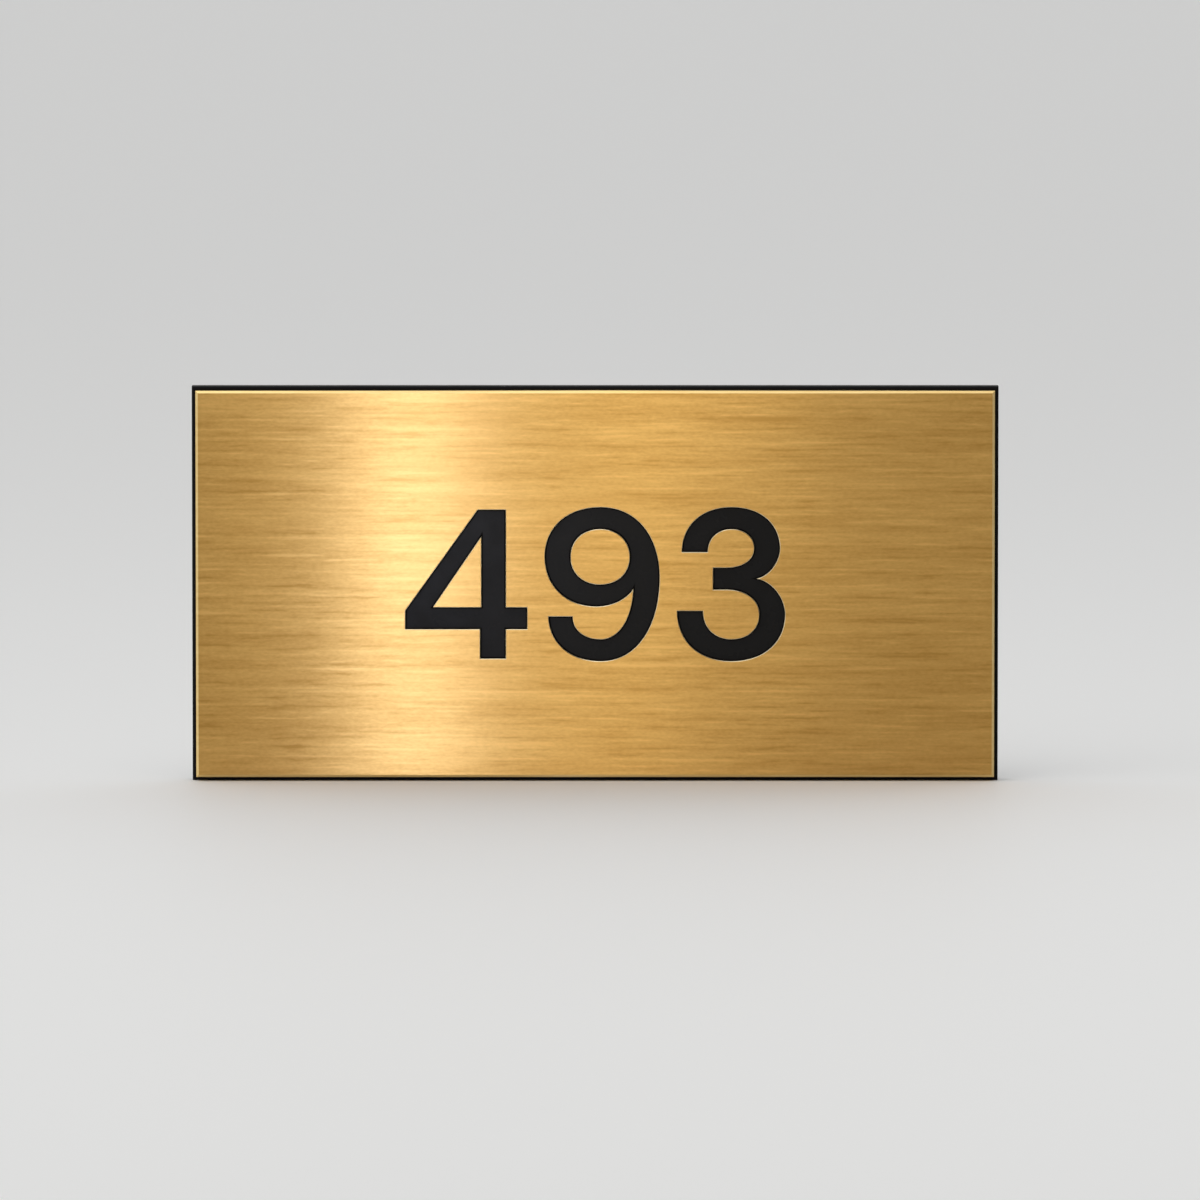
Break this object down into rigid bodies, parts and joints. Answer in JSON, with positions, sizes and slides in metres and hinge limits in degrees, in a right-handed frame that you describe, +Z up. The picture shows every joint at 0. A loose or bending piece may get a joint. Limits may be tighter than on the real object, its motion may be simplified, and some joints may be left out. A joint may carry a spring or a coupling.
{
  "type": "house number plaque",
  "caption": "Rectangular brass house number plaque with bevelled edges and engraved, black-filled figures, on a slightly larger black backing plate with studs for the wall.",
  "frame": {"origin": "centre of the backing plate's wall side, which lies flat on the wall", "axes": "+X along the plaque's length, to the right as one reads it; +Z up the wall; +Y into the wall, along the studs, so the face looks towards -Y"},
  "size_m": [0.202, 0.028, 0.099],
  "materials": {
    "face_brass": "brushed along its length, with polished bevels",
    "black_enamel": "black enamel with a soft satin shine",
    "black_backing": "black acrylic with polished edges",
    "stud_steel": "stainless steel, M4 thread with a plain tail",
    "nut_steel": "stainless steel, plain"
  },
  "bodies": {
    "root": {"face_plate": "face_brass", "enamel_four": "black_enamel", "enamel_nine": "black_enamel", "enamel_three": "black_enamel", "backing_plate": "black_backing", "stud_top_left": "stud_steel", "stud_top_right": "stud_steel", "stud_bottom_left": "stud_steel", "stud_bottom_right": "stud_steel", "nut_top_left": "nut_steel", "nut_top_right": "nut_steel", "nut_bottom_left": "nut_steel", "nut_bottom_right": "nut_steel"}
  },
  "joints": []
}
